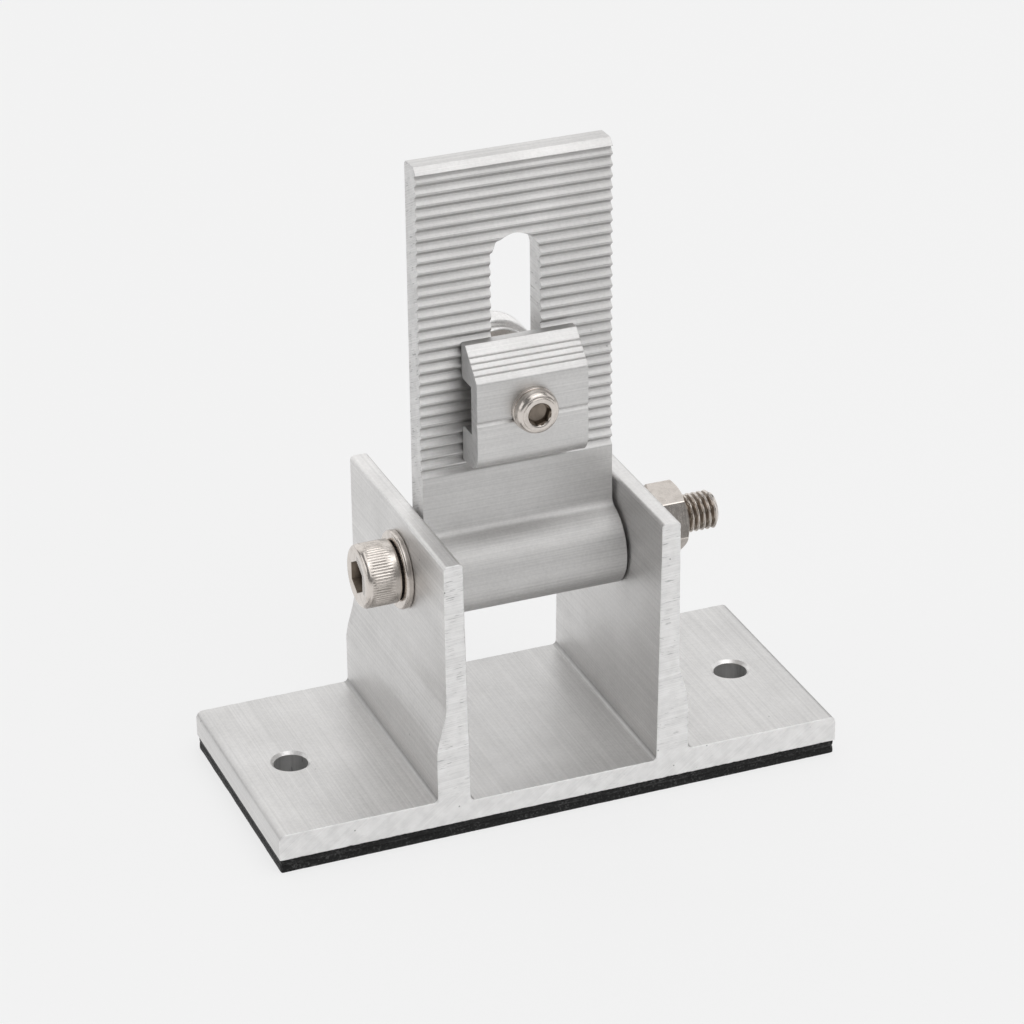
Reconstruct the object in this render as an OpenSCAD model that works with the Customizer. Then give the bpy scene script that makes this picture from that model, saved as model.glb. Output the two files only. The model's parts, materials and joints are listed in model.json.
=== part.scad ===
// Adjustable tilt leg for a solar panel: a ribbed upright with a sliding clamp block,
// hinged on one bolt between the two ears of an extruded base that stands on a rubber pad.
// X runs along the base, Y through its depth towards the back, Z up.
// The origin is the middle of the rubber pad's underside.

/* [Base plate] */
// Length of the base plate
base_len = 120; // [96:1:170]
// Depth of the base, from saw cut to saw cut
base_depth = 53; // [40:1:80]
// Thickness of the base plate
base_t = 5.6; // [4:0.1:8]
// How far the floor between the ears lies below the outer plate
floor_drop = 1.2; // [0:0.1:2]
// Rounding of the two top edges at the plate's ends
base_edge_r = 1.4; // [0.4:0.1:2]
// Diameter of the two fixing holes
fix_d = 7; // [5:0.1:8.5]
// Distance from a fixing hole's centre to the end of the plate
fix_edge = 11.5; // [9:0.5:14]
// Width of the bevel round a fixing hole
fix_bevel = 0.6; // [0.2:0.1:1.2]

/* [Rubber pad] */
// Thickness of the pad
pad_t = 3; // [1:0.1:5]
// How far the pad's edge stays inside the plate's edge
pad_inset = 0.2; // [0:0.1:2]
// How much wider the pad's holes are than the plate's
pad_hole_extra = 0.4; // [0:0.1:1]

/* [Ears] */
// Height of the pivot over the base plate
pivot_h = 39.8; // [32:0.1:60]
// How far the pivot lies in front of the base's middle
pivot_shift = 2.2; // [0:0.1:5]
// Height of the ears over the pivot
ear_rise = 11.9; // [10:0.1:18]
// Thickness of an ear at the pivot
ear_t = 4.1; // [3:0.1:6]
// Extra thickness of an ear at its foot
ear_foot_extra = 2.1; // [0.5:0.1:4]
// Height of the thick foot over the base plate
ear_foot_h = 10; // [4:0.5:12]
// Height over which the foot runs out into the thin ear
ear_blend_h = 11; // [6:0.5:14]
// Lean of an ear's inner face, in degrees
ear_lean = 1; // [0:0.1:1.2]
// Rounding of an ear's top edges
ear_edge_r = 0.8; // [0.2:0.1:1.2]
// Hollow rounding where an ear meets the plate
ear_root_r = 1; // [0.3:0.1:2]

/* [Upright] */
// Width of the upright
leg_w = 40.4; // [30:0.2:60]
// Gap between the upright and each ear, at the pivot
leg_side_gap = 0.5; // [0.4:0.05:1]
// Height of the upright over the pivot
leg_h = 84; // [72:0.2:120]
// Thickness of the blade
blade_t = 6; // [5:0.1:8]
// Distance from the pivot to the blade's front face
blade_front = 1; // [0:0.1:2]
// Radius of the hinge barrel
barrel_r = 8.7; // [8:0.1:11]
// How far the barrel's centre lies below the pivot
barrel_drop = 2.5; // [0:0.1:2.5]
// Hollow rounding between barrel and blade, front
barrel_front_r = 2; // [1:0.1:4]
// Hollow rounding between barrel and blade, back
barrel_back_r = 3; // [1:0.1:4]
// Bevel of the blade's top front edge
leg_bevel = 1.3; // [0.4:0.1:2]
// Rounding of the blade's top back edge
leg_back_r = 1; // [0.3:0.1:2]

/* [Serrations] */
// Distance from ridge to ridge
ridge_pitch = 2.3; // [1.5:0.05:4]
// Depth of the valleys
ridge_depth = 1; // [0.4:0.05:1.4]
// Width of a ridge's blunt tip
ridge_tip = 0.3; // [0.1:0.05:0.6]
// Share of a ridge's slopes that faces up
ridge_up_share = 0.56; // [0.4:0.02:0.7]
// Height of the lowest valley over the pivot
ridge_low = 20.2; // [16:0.2:30]
// Plain strip between the top bevel and the highest valley
ridge_top_gap = 0.1; // [0.1:0.1:6]

/* [Slot] */
// Width of the slot
slot_w = 10.4; // [6.5:0.1:12]
// Height of the slot's lower end over the pivot
slot_low = 24; // [20:0.2:30]
// Distance from the slot's upper end to the top of the upright
slot_top_gap = 16.2; // [8:0.2:24]

/* [Clamp block] */
// Width of the block
block_w = 23.3; // [14:0.1:36]
// Height of the block
block_h = 25.1; // [23:0.1:30]
// Thickness of the block, back to front
block_t = 8; // [7.5:0.1:12]
// Thickness of the web behind the front face
block_web = 3.1; // [2.5:0.1:5]
// Height of the upper lobe at the back
lobe_top_h = 7.6; // [5:0.1:8.5]
// Height of the lower lobe at the back
lobe_low_h = 6.8; // [4:0.1:7.5]
// Length of the block's flat top
block_top_flat = 2; // [1:0.1:4]
// Drop of the sloping face from the flat top to the front face
block_slope_h = 5.9; // [3:0.1:6.5]
// Radius of the block's lower front edge
block_low_r = 4.2; // [1:0.1:4.5]
// Depth of the fine grooves on the sloping face
fine_groove = 0.3; // [0.15:0.05:0.45]
// Number of fine grooves
fine_count = 4; // [2:1:5]
// Depth of the guide groove across the front face
guide_groove = 0.45; // [0.2:0.05:0.8]
// How far the guide groove runs below the screw's centre
guide_drop = 1.7; // [0:0.1:2.5]
// Height of the screw over the block's underside
screw_up = 12.4; // [11.5:0.1:14]
// Height of the screw over the pivot
clamp_h = 34.5; // [34:0.1:44]
// Gap between the clamp's parts and the upright's faces
slide_gap = 0.15; // [0.1:0.05:0.4]

/* [Pivot bolt, washers and nut] */
// Thread diameter of the bolt
bolt_d = 8; // [6:1:8]
// Length of the bolt under its head
bolt_len = 69; // [64:1:100]
// Diameter of the bolt's head
bolt_head_d = 13; // [11:0.1:14]
// Height of the bolt's head
bolt_head_h = 7.6; // [6:0.1:9]
// Width of the bolt's hexagon socket, flat to flat
bolt_socket = 6; // [4:0.5:6]
// Radial play of the bolt in its bores
bolt_play = 0.2; // [0.1:0.05:0.3]
// Diameter of the flat washers
washer_d = 16; // [14:0.1:17]
// Thickness of the flat washers
washer_t = 1.6; // [1:0.1:2]
// Diameter of the spring washer
spring_d = 14.4; // [12:0.1:15]
// Thickness of the spring washer
spring_t = 2; // [1:0.1:2.2]
// Width of the nut, flat to flat
nut_flats = 13; // [12:0.1:14]
// Height of the nut
nut_h = 6.5; // [5:0.1:8]
// Radial play of a screw in its nut
thread_play = 0.05; // [0.03:0.01:0.1]

/* [Clamp screw, washers and knurled nut] */
// Thread diameter of the clamp screw
screw_d = 5; // [4:0.5:5]
// Length of the clamp screw under its head
screw_len = 30; // [27:1:40]
// Diameter of the screw's domed head
screw_head_d = 9; // [8:0.1:10]
// Height of the screw's head
screw_head_h = 2.5; // [2:0.1:3]
// Diameter of the flat front of the head
screw_face_d = 6.9; // [6:0.1:7.5]
// Width of the screw's hexagon socket, flat to flat
screw_socket = 4; // [3:0.5:4]
// Radial play of the screw in the block
screw_play = 0.2; // [0.1:0.05:0.4]
// Diameter of the spring washer under the head
front_spring_d = 9.2; // [8.8:0.1:11]
// Thickness of the spring washer under the head
front_spring_t = 1.1; // [0.8:0.1:1.4]
// Diameter of the wide washer behind the upright
wide_washer_d = 15; // [13:0.1:18]
// Thickness of the wide washer
wide_washer_t = 1.2; // [0.8:0.1:2]
// Diameter of the knurled nut's head
knurl_d = 19.6; // [16:0.1:22]
// Height of the knurled nut
knurl_nut_h = 11; // [9.5:0.1:13]
// Height of the knurled band
knurl_h = 5.5; // [4:0.1:6]
// Diameter of the knurled nut's collar
collar_d = 11; // [9:0.1:12.5]

/* [Hidden] */

round_fn = 96;
cut = 0.5;
plate_top = pad_t + base_t;
pivot_z = plate_top + pivot_h;
pivot_y = -pivot_shift;
ear_top = pivot_z + ear_rise;
ear_inner = leg_w / 2 + leg_side_gap;
ear_outer = ear_inner + ear_t;
fix_x = base_len / 2 - fix_edge;
blade_back = blade_t - blade_front;
slot_top = leg_h - slot_top_gap;
bolt_seat = ear_outer + washer_t;
nut_seat = ear_outer + washer_t + spring_t;
clamp_z = pivot_z + clamp_h;
block_back_y = pivot_y - blade_front - slide_gap;
block_front_y = block_back_y - block_t;
screw_seat_y = block_front_y - front_spring_t;
wide_seat_y = pivot_y + blade_back + slide_gap;
knurl_seat_y = wide_seat_y + wide_washer_t;

alu = [0.78, 0.78, 0.77];
alu_dark = [0.70, 0.70, 0.69];
steel = [0.72, 0.70, 0.67];
rubber = [0.07, 0.07, 0.07];

// Points along an arc round c, from angle a0 to angle a1
function arc(c, r, a0, a1, n = 8) =
    [for (i = [0:n]) let (a = a0 + (a1 - a0) * i / n) [c[0] + r * cos(a), c[1] + r * sin(a)]];

// The same points on the other side of the vertical axis, in reverse order
function mirrored(p) = [for (i = [len(p) - 1:-1:0]) [-p[i][0], p[i][1]]];

// Smooth step from 0 to 1
function ease(t) = t * t * (3 - 2 * t);

// Distance from the middle to an ear's inner face at height z
function inner_x(z) = ear_inner + (z - pivot_z) * tan(ear_lean);

// Lays a drawing of x and z points along Y, with its middle at y = 0
module along_y(depth) {
    rotate([90, 0, 0]) linear_extrude(height = depth, center = true) children();
}

// Lays a drawing of y and z points along X, with its middle at x = 0
module along_x(width) {
    rotate([90, 0, 90]) linear_extrude(height = width, center = true) children();
}

// Turns what stands on +Z so that it points along +X from x, on the pivot's axis
module on_pivot(x) {
    translate([x, pivot_y, pivot_z]) rotate([0, 90, 0]) children();
}

// Turns what stands on +Z so that it points forwards, along -Y, from y, on the clamp screw's axis
module to_front(y) {
    translate([0, y, clamp_z]) rotate([90, 0, 0]) children();
}

// Turns what stands on +Z so that it points back, along +Y, from y, on the clamp screw's axis
module to_back(y) {
    translate([0, y, clamp_z]) rotate([-90, 0, 0]) children();
}

// Right half of the base's section, from the plate's underside round to the inner floor
function base_half() =
    let (foot_z = plate_top + ear_foot_h,
         blend_z = foot_z + ear_blend_h,
         foot_x = ear_outer + ear_foot_extra,
         end_x = base_len / 2,
         floor_z = plate_top - floor_drop,
         floor_x = inner_x(floor_z),
         lip_x = inner_x(ear_top),
         steps = 12)
    concat(
        [[end_x, pad_t]],
        arc([end_x - base_edge_r, plate_top - base_edge_r], base_edge_r, 0, 90),
        arc([foot_x + ear_root_r, plate_top + ear_root_r], ear_root_r, 270, 180),
        [for (i = [0:steps]) let (t = i / steps)
            [ear_outer + ear_foot_extra * ease(1 - t), foot_z + (blend_z - foot_z) * t]],
        arc([ear_outer - ear_edge_r, ear_top - ear_edge_r], ear_edge_r, 0, 90),
        arc([lip_x + ear_edge_r, ear_top - ear_edge_r], ear_edge_r, 90, 180 - ear_lean),
        arc([floor_x - ear_root_r, floor_z + ear_root_r], ear_root_r, -ear_lean, -90)
    );

module base_bracket() {
    color(alu) difference() {
        along_y(base_depth) polygon(concat(base_half(), mirrored(base_half())));
        on_pivot(-base_len / 2) cylinder(r = bolt_d / 2 + bolt_play, h = base_len, $fn = round_fn);
        for (side = [-1, 1]) translate([side * fix_x, 0, 0]) {
            cylinder(d = fix_d, h = plate_top + cut, $fn = round_fn);
            translate([0, 0, plate_top - fix_bevel])
                cylinder(r1 = fix_d / 2, r2 = fix_d / 2 + fix_bevel + cut, h = fix_bevel + cut,
                         $fn = round_fn);
        }
    }
}

module rubber_pad() {
    color(rubber) difference() {
        translate([pad_inset - base_len / 2, pad_inset - base_depth / 2, 0])
            cube([base_len - 2 * pad_inset, base_depth - 2 * pad_inset, pad_t]);
        for (side = [-1, 1]) translate([side * fix_x, 0, -cut])
            cylinder(d = fix_d + pad_hole_extra, h = pad_t + 2 * cut, $fn = round_fn);
    }
}

// Section of the upright round the pivot: front face down, round the barrel, and up the back
function leg_outline() =
    let (front_up = sqrt(pow(barrel_r + barrel_front_r, 2) - pow(blade_front + barrel_front_r, 2)),
         back_up = sqrt(pow(barrel_r + barrel_back_r, 2) - pow(blade_back + barrel_back_r, 2)),
         front_a = atan2(front_up, -blade_front - barrel_front_r),
         back_a = atan2(back_up, blade_back + barrel_back_r) + 360,
         steps = 88,
         one = (back_a - front_a) / steps)
    concat(
        arc([-blade_front - barrel_front_r, front_up - barrel_drop], barrel_front_r, 0, front_a - 180),
        arc([0, -barrel_drop], barrel_r, front_a + one, back_a - one, steps - 2),
        arc([blade_back + barrel_back_r, back_up - barrel_drop], barrel_back_r, back_a - 180, 180),
        arc([blade_back - leg_back_r, leg_h - leg_back_r], leg_back_r, 0, 90),
        [[leg_bevel - blade_front, leg_h], [-blade_front, leg_h - leg_bevel]],
        ridge_line()
    );

// The ridges down the front face, each from its upper valley to its lower edge
function ridge_line() =
    let (slopes = ridge_pitch - ridge_tip,
         up = slopes * ridge_up_share,
         down = slopes - up,
         start = leg_h - leg_bevel - ridge_top_gap,
         count = floor((start - ridge_top_gap - ridge_low) / ridge_pitch),
         first = ridge_low + count * ridge_pitch)
    concat(
        [[-blade_front, min(start, first + down)]],
        [for (i = [0:count - 1]) let (z = first - i * ridge_pitch)
            each [[ridge_depth - blade_front, z], [-blade_front, z - up],
                  [-blade_front, z - up - ridge_tip]]],
        [[ridge_depth - blade_front, ridge_low], [-blade_front, ridge_low - up]]
    );

module tilt_leg() {
    color(alu) difference() {
        translate([0, pivot_y, pivot_z]) along_x(leg_w) polygon(leg_outline());
        on_pivot(-leg_w) cylinder(r = bolt_d / 2 + bolt_play, h = 2 * leg_w, $fn = round_fn);
        translate([-slot_w / 2, pivot_y - blade_t, pivot_z + slot_low + slot_w / 2])
            cube([slot_w, 3 * blade_t, slot_top - slot_low - slot_w]);
        for (z = [slot_low + slot_w / 2, slot_top - slot_w / 2])
            translate([0, pivot_y - blade_t, pivot_z + z])
                rotate([-90, 0, 0]) cylinder(d = slot_w, h = 3 * blade_t, $fn = round_fn);
    }
}

// Section of the block from its lower back corner: y forwards is negative, z up from the underside
function block_outline() =
    let (web_y = block_web - block_t,
         lip = 0.6,
         channel_low = lobe_low_h + lip,
         channel_top = block_h - lobe_top_h,
         slope_run = block_t - block_top_flat,
         slope_len = norm([slope_run, block_slope_h]),
         slope = [-slope_run, -block_slope_h] / slope_len,
         outward = [slope[1], -slope[0]],
         fine_pitch = slope_len / (fine_count + 2.35),
         slope_a = atan2(block_slope_h, slope_run),
         brow_r = 0.8,
         brow_z = block_h - block_slope_h - brow_r * tan(45 - slope_a / 2),
         guide_z = screw_up - guide_drop,
         guide_half = guide_groove * 1.4)
    concat(
        [[0, 0], [0, lobe_low_h], [-lip, channel_low], [web_y, channel_low],
         [web_y, channel_top], [-lip, channel_top], [0, channel_top + lip],
         [0, block_h], [-block_top_flat, block_h]],
        [for (i = [1:fine_count], side = [-1, 0, 1])
            let (p = [-block_top_flat, block_h] + slope * (i + 1) * fine_pitch)
            p + (side == 0 ? -outward : slope * side * 0.6) * fine_groove],
        arc([brow_r - block_t, brow_z], brow_r, 90 + slope_a, 180, 4),
        [[-block_t, guide_z + guide_half], [guide_groove - block_t, guide_z],
         [-block_t, guide_z - guide_half]],
        arc([block_low_r - block_t, block_low_r], block_low_r, 180, 250, 6)
    );

module clamp_block() {
    color(alu_dark) difference() {
        translate([0, block_back_y, clamp_z - screw_up]) along_x(block_w) polygon(block_outline());
        to_front(block_back_y + cut)
            cylinder(r = screw_d / 2 + screw_play, h = block_t + 2 * cut, $fn = round_fn);
    }
}

// A flat washer standing on z = 0, with small bevels on its rim
module flat_washer(outer_d, inner_r, t) {
    bevel = t / 4;
    rotate_extrude($fn = round_fn)
        polygon([[inner_r, 0], [outer_d / 2 - bevel, 0], [outer_d / 2, bevel], [outer_d / 2, t - bevel],
                 [outer_d / 2 - bevel, t], [inner_r, t]]);
}

// A flattened spring washer standing on z = 0, with its slanted split at angle a
module spring_washer(outer_d, inner_r, t, a) {
    split = t * 0.4;
    slant = 20;
    difference() {
        rotate_extrude($fn = round_fn) translate([inner_r, 0]) square([outer_d / 2 - inner_r, t]);
        rotate([0, 0, a]) rotate([slant, 0, 0]) translate([0, -split / 2, -t]) cube([outer_d, split, 3 * t]);
    }
}

// The hexagonal recess of a screw whose face lies on z = 0, with the cone that the drill left below it
module hex_socket(flats, depth) {
    drill_r = flats * 0.48;
    translate([0, 0, -cut]) cylinder(d = flats / cos(30), h = depth + cut, $fn = 6);
    rotate_extrude($fn = round_fn)
        polygon([[0, 0], [drill_r, 0], [drill_r, depth], [0, depth + drill_r * tan(30)]]);
}

module pivot_bolt() {
    head_r = bolt_head_d / 2;
    shank_r = bolt_d / 2;
    end_z = bolt_head_h + bolt_len;
    rim_r = 1;
    under_bevel = 0.5;
    tip_bevel = 0.9;
    color(steel) on_pivot(-bolt_seat - bolt_head_h) difference() {
        rotate_extrude($fn = round_fn)
            polygon(concat([[0, 0]],
                arc([head_r - rim_r, rim_r], rim_r, -90, 0, 5),
                [[head_r, bolt_head_h - under_bevel], [head_r - under_bevel, bolt_head_h],
                 [shank_r, bolt_head_h], [shank_r, end_z - tip_bevel],
                 [shank_r - tip_bevel, end_z], [0, end_z]]));
        hex_socket(bolt_socket, bolt_head_h / 2);
    }
}

module head_washer() {
    color(steel) on_pivot(-bolt_seat) flat_washer(washer_d, bolt_d / 2 + bolt_play, washer_t);
}

module nut_washer() {
    color(steel) on_pivot(ear_outer) flat_washer(washer_d, bolt_d / 2 + bolt_play, washer_t);
}

module nut_spring_washer() {
    color(steel) on_pivot(ear_outer + washer_t)
        spring_washer(spring_d, bolt_d / 2 + bolt_play, spring_t, 200);
}

module pivot_nut() {
    corner_r = nut_flats / 2 / cos(30);
    face_r = nut_flats / 2 - 0.2;
    blank_r = corner_r + 0.1;
    bevel = (blank_r - face_r) * tan(30);
    color(steel) on_pivot(nut_seat) difference() {
        intersection() {
            rotate([0, 0, 42]) cylinder(r = corner_r, h = nut_h, $fn = 6);
            rotate_extrude($fn = round_fn)
                polygon([[0, 0], [face_r, 0], [blank_r, bevel], [blank_r, nut_h - bevel],
                         [face_r, nut_h], [0, nut_h]]);
        }
        translate([0, 0, -cut]) cylinder(r = bolt_d / 2 + thread_play, h = nut_h + 2 * cut, $fn = round_fn);
    }
}

module clamp_screw() {
    head_r = screw_head_d / 2;
    face_r = screw_face_d / 2;
    shank_r = screw_d / 2;
    rim = 0.5;
    face_rise = 0.25;
    tip_bevel = 0.6;
    steps = 6;
    dome = screw_head_h - rim - face_rise;
    end_z = screw_head_h + screw_len;
    color(steel) to_back(screw_seat_y - screw_head_h) difference() {
        rotate_extrude($fn = round_fn)
            polygon(concat([[0, 0], [face_r, 0], [face_r, face_rise]],
                [for (i = [0:steps]) let (a = 90 * i / steps)
                    [face_r + (head_r - face_r) * sin(a), face_rise + dome * (1 - cos(a))]],
                [[head_r, screw_head_h], [shank_r, screw_head_h], [shank_r, end_z - tip_bevel],
                 [shank_r - tip_bevel, end_z], [0, end_z]]));
        rotate([0, 0, -15]) hex_socket(screw_socket, screw_head_h - rim - face_rise);
    }
}

module screw_spring_washer() {
    color(steel) to_front(block_front_y)
        spring_washer(front_spring_d, screw_d / 2 + screw_play, front_spring_t, 232);
}

module wide_washer() {
    color(steel) to_back(wide_seat_y) flat_washer(wide_washer_d, screw_d / 2 + screw_play, wide_washer_t);
}

module knurled_nut() {
    head_r = knurl_d / 2;
    collar_r = collar_d / 2;
    bore_r = screw_d / 2 + thread_play;
    edge = 0.6;
    shoulder_in = 1;
    shoulder_h = 2;
    knurl_z = knurl_nut_h - knurl_h;
    shoulder_r = head_r - shoulder_in;
    shoulder_z = knurl_z - shoulder_h;
    color(steel) to_back(knurl_seat_y) rotate_extrude($fn = round_fn)
        polygon([[bore_r + edge, 0], [collar_r - edge, 0], [collar_r, edge], [collar_r, shoulder_z],
                 [shoulder_r - edge / 2, shoulder_z], [shoulder_r, shoulder_z + edge / 2],
                 [shoulder_r, knurl_z - edge / 2], [shoulder_r - edge, knurl_z], [head_r - edge, knurl_z],
                 [head_r, knurl_z + edge], [head_r, knurl_nut_h - edge], [head_r - edge, knurl_nut_h],
                 [bore_r + edge, knurl_nut_h], [bore_r, knurl_nut_h - edge], [bore_r, edge]]);
}

base_bracket();
rubber_pad();
pivot_bolt();
head_washer();
nut_washer();
nut_spring_washer();
pivot_nut();
tilt_leg();
clamp_block();
clamp_screw();
screw_spring_washer();
wide_washer();
knurled_nut();
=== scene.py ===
import json
import math

import bmesh
import bpy
from mathutils import Matrix, Vector, noise


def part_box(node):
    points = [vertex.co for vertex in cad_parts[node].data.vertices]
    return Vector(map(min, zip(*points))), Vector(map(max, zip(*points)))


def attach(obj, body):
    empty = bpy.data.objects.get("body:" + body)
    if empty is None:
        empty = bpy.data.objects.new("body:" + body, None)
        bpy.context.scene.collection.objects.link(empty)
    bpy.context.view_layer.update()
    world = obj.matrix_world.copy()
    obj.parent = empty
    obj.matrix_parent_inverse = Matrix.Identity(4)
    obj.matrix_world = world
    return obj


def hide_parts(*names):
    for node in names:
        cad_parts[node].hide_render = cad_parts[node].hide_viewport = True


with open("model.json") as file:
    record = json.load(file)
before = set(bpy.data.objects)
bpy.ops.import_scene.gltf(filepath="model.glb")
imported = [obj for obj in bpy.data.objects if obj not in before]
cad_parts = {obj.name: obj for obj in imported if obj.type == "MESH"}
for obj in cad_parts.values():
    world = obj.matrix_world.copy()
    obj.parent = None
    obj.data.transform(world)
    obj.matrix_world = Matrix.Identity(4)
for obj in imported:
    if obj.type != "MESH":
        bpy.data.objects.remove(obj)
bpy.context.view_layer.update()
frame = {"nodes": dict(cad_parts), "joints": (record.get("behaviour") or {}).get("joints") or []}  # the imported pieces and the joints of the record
mm = 0.001
fullTurn = 2 * math.pi
alongX, alongY, alongZ = 0, 1, 2
print("frame: %d pieces" % len(frame["nodes"]))


class Wire:  # one socket, so that sums of sockets are written as plain sums
    def __init__(self, net, socket):
        self.net = net
        self.socket = socket

    def beside(self, name):  # another output of the same node
        return Wire(self.net, self.socket.node.outputs[name])

    def __add__(self, other):
        return self.net.maths("ADD", self, other)

    def __radd__(self, other):
        return self.net.maths("ADD", other, self)

    def __sub__(self, other):
        return self.net.maths("SUBTRACT", self, other)

    def __rsub__(self, other):
        return self.net.maths("SUBTRACT", other, self)

    def __mul__(self, other):
        return self.net.maths("MULTIPLY", self, other)

    def __rmul__(self, other):
        return self.net.maths("MULTIPLY", other, self)

    def __truediv__(self, other):
        return self.net.maths("DIVIDE", self, other)

    def __gt__(self, other):
        return self.net.maths("GREATER_THAN", self, other)


class Net:  # a node tree, of a material, the world or a modifier
    def __init__(self, tree):
        self.tree = tree

    def node(self, kind, settings=None, sockets=None, out=0):
        made = self.tree.nodes.new(kind)
        for name, value in (settings or {}).items():
            setattr(made, name, value)
        for name, value in (sockets or {}).items():
            if isinstance(value, Wire):
                self.tree.links.new(value.socket, made.inputs[name])
            else:
                made.inputs[name].default_value = value
        return Wire(self, made.outputs[out]) if len(made.outputs) else None

    def maths(self, operation, first, second=0.0):
        return self.node("ShaderNodeMath", {"operation": operation}, {0: first, 1: second})

    def limited(self, value):  # kept between 0 and 1
        return self.node("ShaderNodeClamp", None, {"Value": value})

    def step(self, value, low, high):  # runs smoothly from 0 at low to 1 at high
        return self.node("ShaderNodeMapRange", {"interpolation_type": "SMOOTHSTEP"},
                         {"Value": value, "From Min": low, "From Max": high})

    def place(self):
        return self.node("ShaderNodeTexCoord", out="Object")

    def height(self):  # in metres above the ground
        return self.node("ShaderNodeSeparateXYZ", None, {"Vector": self.place()}, out="Z")

    def grain(self, sizes, detail=3.0, turn=(0, 0, 0), rough=0.5):  # noise whose spots measure sizes, in mm
        if not isinstance(sizes, (list, tuple)):
            sizes = [sizes] * 3
        turned = self.node("ShaderNodeMapping", None, {"Vector": self.place(), "Rotation": turn})
        scaled = self.node("ShaderNodeMapping", None,
                           {"Vector": turned, "Scale": [1 / (size * mm) for size in sizes]})
        return self.node("ShaderNodeTexNoise", None,
                         {"Vector": scaled, "Scale": 1.0, "Detail": detail, "Roughness": rough})

    def swing(self, sizes, width, detail=3.0):  # noise about 0
        return (self.grain(sizes, detail) - 0.5) * width

    def specks(self, spacing, size):  # 1 inside small round spots, 0 elsewhere
        scaled = self.node("ShaderNodeMapping", None,
                           {"Vector": self.place(), "Scale": [1 / (spacing * mm)] * 3})
        cells = self.node("ShaderNodeTexVoronoi", None, {"Vector": scaled, "Scale": 1.0})
        return 1 - self.step(cells, 0.4 * size / spacing, size / spacing)

    def blended(self, share, first, second):  # a colour between two colours
        return self.node("ShaderNodeMix", {"data_type": "RGBA"}, {0: share, 6: first, 7: second}, out=2)


def grey(level, warm=0.0):
    return (level * (1 + warm), level, level * (1 - warm), 1)


def emptyNet(owner):  # the node tree of a material or a world, cleared
    owner.use_nodes = True
    owner.node_tree.nodes.clear()
    return Net(owner.node_tree)


def finished(name, colour, roughness, relief=None, metallic=1.0, bump=0.0, bumpHeight=0.0, specular=0.5):
    material = bpy.data.materials.new(name)
    net = emptyNet(material)
    sockets = {"Base Color": colour(net), "Roughness": roughness(net), "Metallic": metallic,
               "Specular IOR Level": specular}
    if relief:
        sockets["Normal"] = net.node("ShaderNodeBump", None,
                                     {"Strength": bump, "Distance": bumpHeight * mm, "Height": relief(net)})
    shader = net.node("ShaderNodeBsdfPrincipled", None, sockets)
    net.node("ShaderNodeOutputMaterial", None, {"Surface": shader})
    return material


# Aluminium as it leaves the press: fine lines run the way it was pushed through the die
aluminium = {
    "level": 0.70,  # how much light it returns
    "warm": 0.012,
    "dark": 0.55,  # its darkest and palest places, as shares of the level
    "pale": 1.45,
    "lineLength": 60,
    "fineLine": 0.3,
    "fineStreak": 0.44,
    "broadLine": 2.0,
    "broadStreak": 0.176,
    "cloudSize": 14,
    "cloud": 0.24,
    "grainSize": 0.6,
    "grain": 0.22,
    "speckSpacing": 7,
    "speck": 0.3,
    "speckPatch": 18,
    "speckDark": 0.42,
    "roughness": 0.45,
    "lineDull": 0.22,
    "dullSize": 9,
    "dull": 0.16,
    "broadRelief": 1.1,
    "broadShare": 0.6,
    "bump": 0.35,
    "bumpHeight": 0.04,
}


def pressed(name, axis, level=1.0, roughness=0.0):
    make = aluminium
    base = make["level"] * level

    def drawn(width):  # drawn out the way of the press
        sizes = [width] * 3
        sizes[axis] = make["lineLength"]
        return sizes

    def colour(net):
        fine = net.swing(drawn(make["fineLine"]), make["fineStreak"], 2)
        broad = net.swing(drawn(make["broadLine"]), make["broadStreak"])
        cloud = net.swing(make["cloudSize"], make["cloud"])
        grain = net.swing(make["grainSize"], make["grain"], 2)
        patch = net.step(net.grain(make["speckPatch"], 1), 0.52, 0.6)
        dirt = net.specks(make["speckSpacing"], make["speck"]) * patch
        share = net.limited(0.5 + fine + broad + cloud + grain - dirt * make["speckDark"])
        return net.blended(share, *(grey(base * make[end], make["warm"]) for end in ("dark", "pale")))

    def rough(net):
        fine = net.swing(drawn(make["fineLine"]), make["lineDull"])
        dull = net.swing(make["dullSize"], make["dull"], 4)
        return net.limited(make["roughness"] + roughness + fine + dull)

    def relief(net):
        broad = net.grain(drawn(make["broadRelief"]), 2) * make["broadShare"]
        return net.grain(drawn(make["fineLine"]), 4) + broad

    return finished(name, colour, rough, relief, bump=make["bump"], bumpHeight=make["bumpHeight"])


# Faces left by the saw: whiter, rougher, with the blade's marks across them
sawing = {
    "level": 0.97,
    "warm": 0.008,
    "dark": 0.4,
    "pale": 1.15,
    "middle": 0.73,
    "metallic": 0.65,
    "markLength": 16,
    "mark": 0.14,
    "contrast": 0.55,
    "cloudSize": 2.4,
    "cloud": 0.45,
    "tornLength": 3.0,
    "torn": 0.16,
    "tornPatch": 2.6,
    "tornDark": 0.5,
    "chipSpacing": 2.6,
    "chip": 0.24,
    "chipPatch": 4,
    "chipDark": 0.7,
    "lowTop": 12,  # below this the second tilt's marks begin, and below lowFoot they are alone
    "lowFoot": 8,
    "lowContrast": 0.55,
    "lowSmooth": 0.85,
    "roughness": 0.55,
    "dullMark": 0.4,
    "dull": 0.4,
    "broadMark": 0.7,
    "broadShare": 0.8,
    "bump": 0.3,
    "bumpHeight": 0.04,
}


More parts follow.
